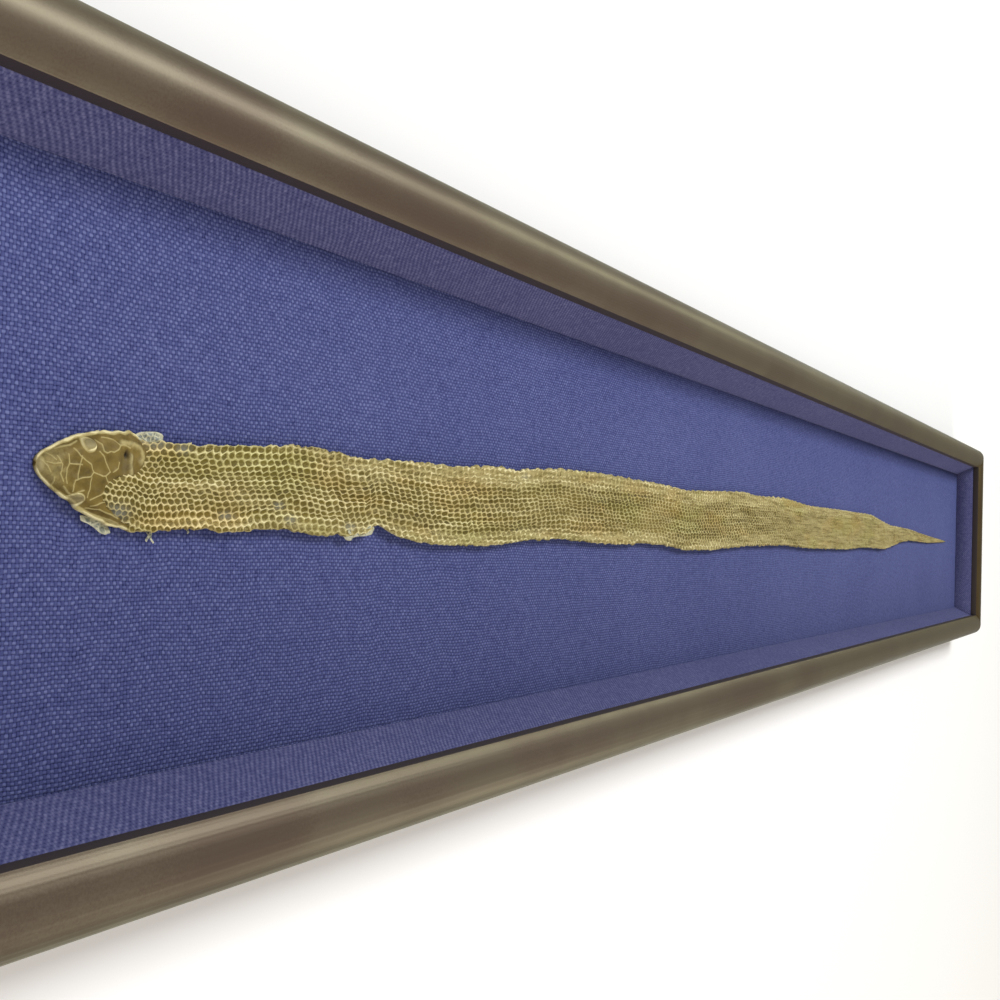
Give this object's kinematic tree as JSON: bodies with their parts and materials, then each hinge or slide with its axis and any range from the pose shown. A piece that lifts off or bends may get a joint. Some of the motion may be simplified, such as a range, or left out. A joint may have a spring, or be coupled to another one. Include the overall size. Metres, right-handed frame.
{
  "type": "shed snake skin in a shadow-box frame",
  "caption": "Whole shed snake skin laid flat on blue linen in a long, shallow, open-fronted shadow-box frame with sloping cloth walls and a dark cushion moulding.",
  "frame": {"origin": "centre of the frame's back, the frame lying on its back", "axes": "+X along the frame from the snake's head to its tail, +Y across it, +Z out of the front"},
  "size_m": [1.54, 0.22, 0.0361],
  "materials": {
    "bronze_lacquer": "satin dark bronze lacquer on a moulding",
    "blue_linen": "coarse plain-weave cloth on board",
    "backing": "plain fibreboard",
    "slough": "thin dry translucent keratin with raised scale edges",
    "steel": "zinc-plated"
  },
  "bodies": {
    "root": {"rail_bottom": "bronze_lacquer", "rail_right": "bronze_lacquer", "rail_top": "bronze_lacquer", "rail_left": "bronze_lacquer", "slip_bottom": "blue_linen", "slip_right": "blue_linen", "slip_top": "blue_linen", "slip_left": "blue_linen", "mount_board": "blue_linen", "back_board": "backing", "snake_skin": "slough", "screw_1": "steel", "screw_2": "steel", "screw_3": "steel", "screw_4": "steel", "screw_5": "steel", "screw_6": "steel", "screw_7": "steel", "screw_8": "steel"}
  },
  "joints": []
}
